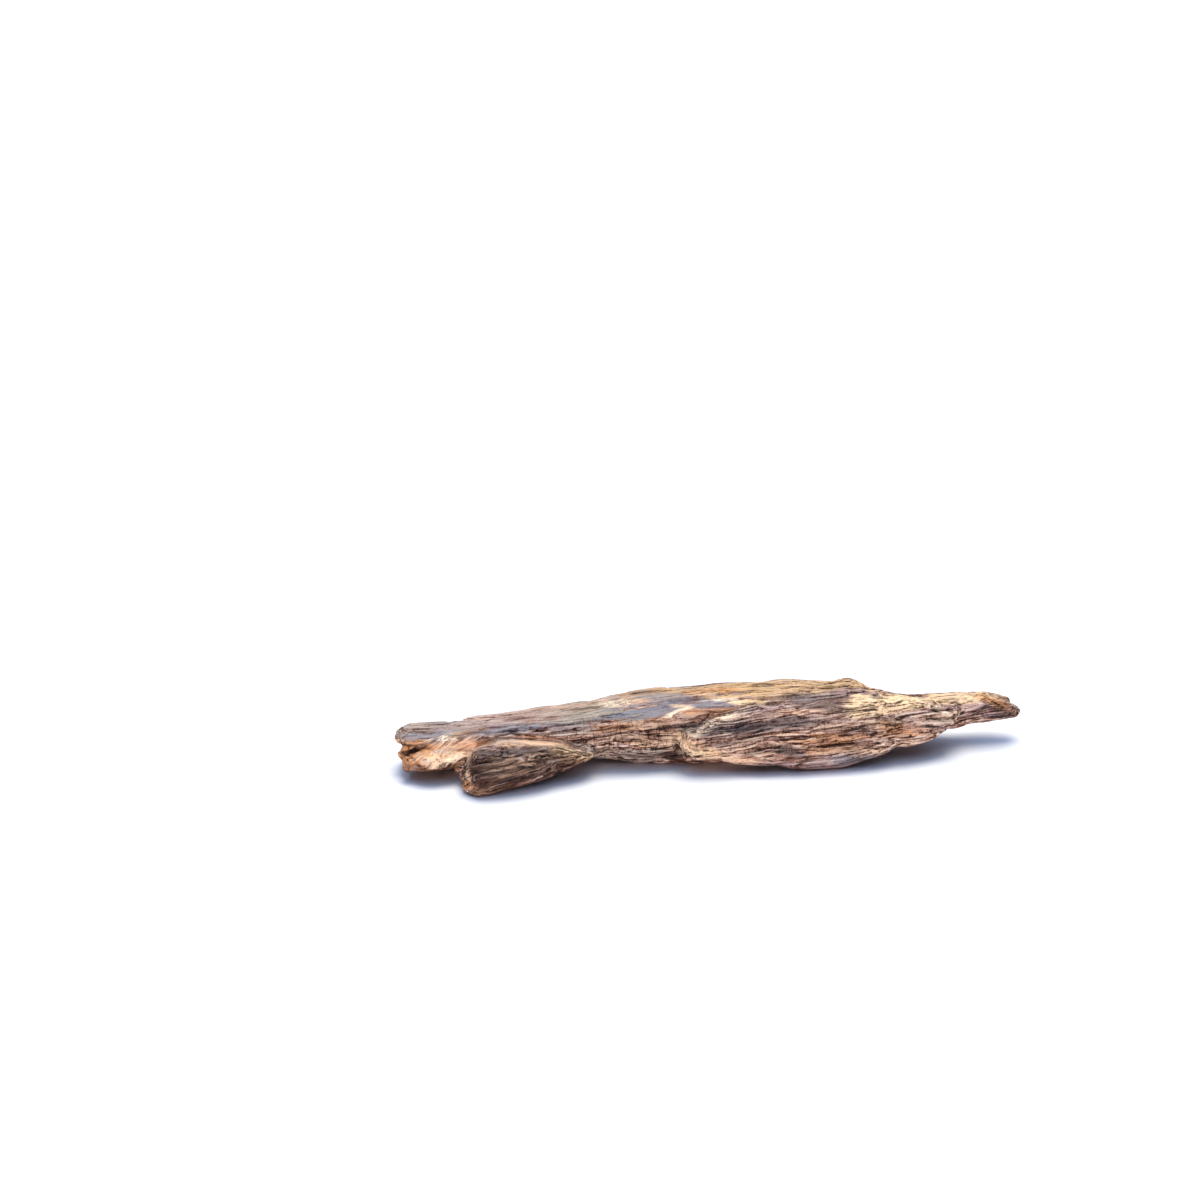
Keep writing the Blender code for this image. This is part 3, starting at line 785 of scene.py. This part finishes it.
def grain_streaks(length, width, seed, output="Shade"):
    inputs = {"Grain": grain_mm, "Length": length, "Width": width, "Seed": seed}
    return put(tree, "ShaderNodeGroup", inputs, output, node_tree=streaks)


def contrast(shade, weight):
    """How far a shade lies from its middle, times the weight."""
    return calc(tree, "MULTIPLY", calc(tree, "SUBTRACT", shade, 0.5), weight)


def lowered(mask, by):
    """Takes the tone or the surface down where the mask is 1."""
    return calc(tree, "MULTIPLY", mask, -by)


def patches(length, width, seed, rim):
    """Long patches along the grain, PATCH_SHARE strong at most."""
    mask = ramp(tree, grain_streaks(length, width, seed), low=rim, high=PATCH_CORE)
    return calc(tree, "MULTIPLY", mask, PATCH_SHARE)


def total(*values):
    result = values[0]
    for value in values[1:]:
        result = calc(tree, "ADD", result, value)
    return result


grain_mm = wavering_grain(tree, layer("grain", "Color"), layer("limb"))
upward = layer("upward")
fine_streaks = grain_streaks(length=7.0, width=0.28, seed=31.0, output="Sharp shade")
dashes = ramp(tree, grain_streaks(length=2.6, width=0.17, seed=41.0), low=0.54, high=0.62)
cracks = thin_lines(tree, grain_mm, length=9.0, width=0.42, seed=45.0, thinness=30.0)
specks = noise(tree, grain_mm, SPECK_SIZE, detail=3.0)
short_grain = calc_vector(tree, "MULTIPLY", grain_mm, CHECK_WIDENING)
checks = thin_lines(tree, short_grain, length=1.0, width=1.0, seed=2.7, thinness=30.0)
checks = calc(tree, "MULTIPLY", checks, layer("checks"))
tone = total(
    contrast(grain_streaks(length=22.0, width=2.6, seed=11.0), weight=0.5),
    contrast(grain_streaks(length=14.0, width=1.1, seed=17.0), weight=0.5),
    contrast(grain_streaks(length=16.0, width=0.5, seed=21.0, output="Sharp shade"), weight=0.37),
    contrast(fine_streaks, weight=0.45),
    contrast(specks, weight=0.9),
    lowered(dashes, by=0.26),
    lowered(cracks, by=0.42),
    lowered(checks, by=0.5),
    # Painted shade: the tone is lowered in the furrows, in the hollows beside the strands, along the
    # fibre lines and in the creases.
    lowered(layer("furrow"), by=0.17),
    lowered(layer("strand"), by=0.2),
    lowered(layer("fibre"), by=0.28),
    lowered(layer("crease"), by=0.7),
)
tone = calc(tree, "MULTIPLY", tone, ramp(tree, upward, low=0.3, high=0.8, to_low=1.15, to_high=0.9))
tone = calc(tree, "MULTIPLY", tone, layer("calm"))
tone = calc(tree, "ADD", tone, MIDDLE_TONE)

wood_tones = tree.nodes.new("ShaderNodeValToRGB")
while len(wood_tones.color_ramp.elements) < len(WOOD_TONES):
    wood_tones.color_ramp.elements.new(0.5)
for stop, (at, shade) in zip(wood_tones.color_ramp.elements, WOOD_TONES):
    stop.position = at
    stop.color = shade
feed(tree, wood_tones.inputs["Fac"], tone)
colour = wood_tones.outputs["Color"]
tawny_share = patches(length=15.0, width=2.0, seed=61.0, rim=0.5)
colour = mix(tree, tawny_share, colour, TAWNY_TINT, "MULTIPLY")
ashen = put(tree, "ShaderNodeHueSaturation", {"Saturation": 0.6, "Value": 0.92, "Color": colour})
colour = mix(tree, patches(length=12.0, width=1.6, seed=71.0, rim=0.52), colour, ashen)
weathered = put(tree, "ShaderNodeHueSaturation", {"Saturation": 0.9, "Value": 0.72, "Color": colour})
colour = mix(tree, ramp(tree, upward, low=0.25, high=0.8), colour, weathered)
# The stains take the tone too, so the painted shade in the hollows darkens them as well.
stain_shade = ramp(tree, tone, low=0.0, high=0.85, to_low=0.12, to_high=1.25)
stain_inputs = {0: layer("stain_and_painted_light", "Color"), "Scale": stain_shade}
stain_and_painted_light_colour = put(tree, "ShaderNodeVectorMath", stain_inputs, operation="SCALE")
colour = mix(tree, layer("stain_and_painted_light_cover"), colour, stain_and_painted_light_colour)
# Painted shade: the faces that look down are darkened.
colour = mix(tree, ramp(tree, upward, low=-0.2, high=-0.75), colour, UNDERSIDE_PAINTED_SHADE, "MULTIPLY")
raised = total(
    fine_streaks,
    lowered(dashes, by=0.8),
    lowered(cracks, by=1.0),
    lowered(checks, by=1.5),
    contrast(specks, weight=1.5),
)
raised = calc(tree, "MULTIPLY", raised, layer("calm"))
relief = {"Strength": RELIEF_STRENGTH, "Distance": RELIEF_HEIGHT, "Height": raised}
feed(tree, shader.inputs["Base Color"], colour)
shader.inputs["Specular IOR Level"].default_value = WOOD_GLOSS
feed(tree, shader.inputs["Roughness"], ramp(tree, tone, low=0.1, high=0.7, to_low=0.45, to_high=0.72))
feed(tree, shader.inputs["Normal"], put(tree, "ShaderNodeBump", relief))
piece.data.materials.clear()
piece.data.materials.append(wood)

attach(piece, "root")
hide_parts("agarwood_piece")
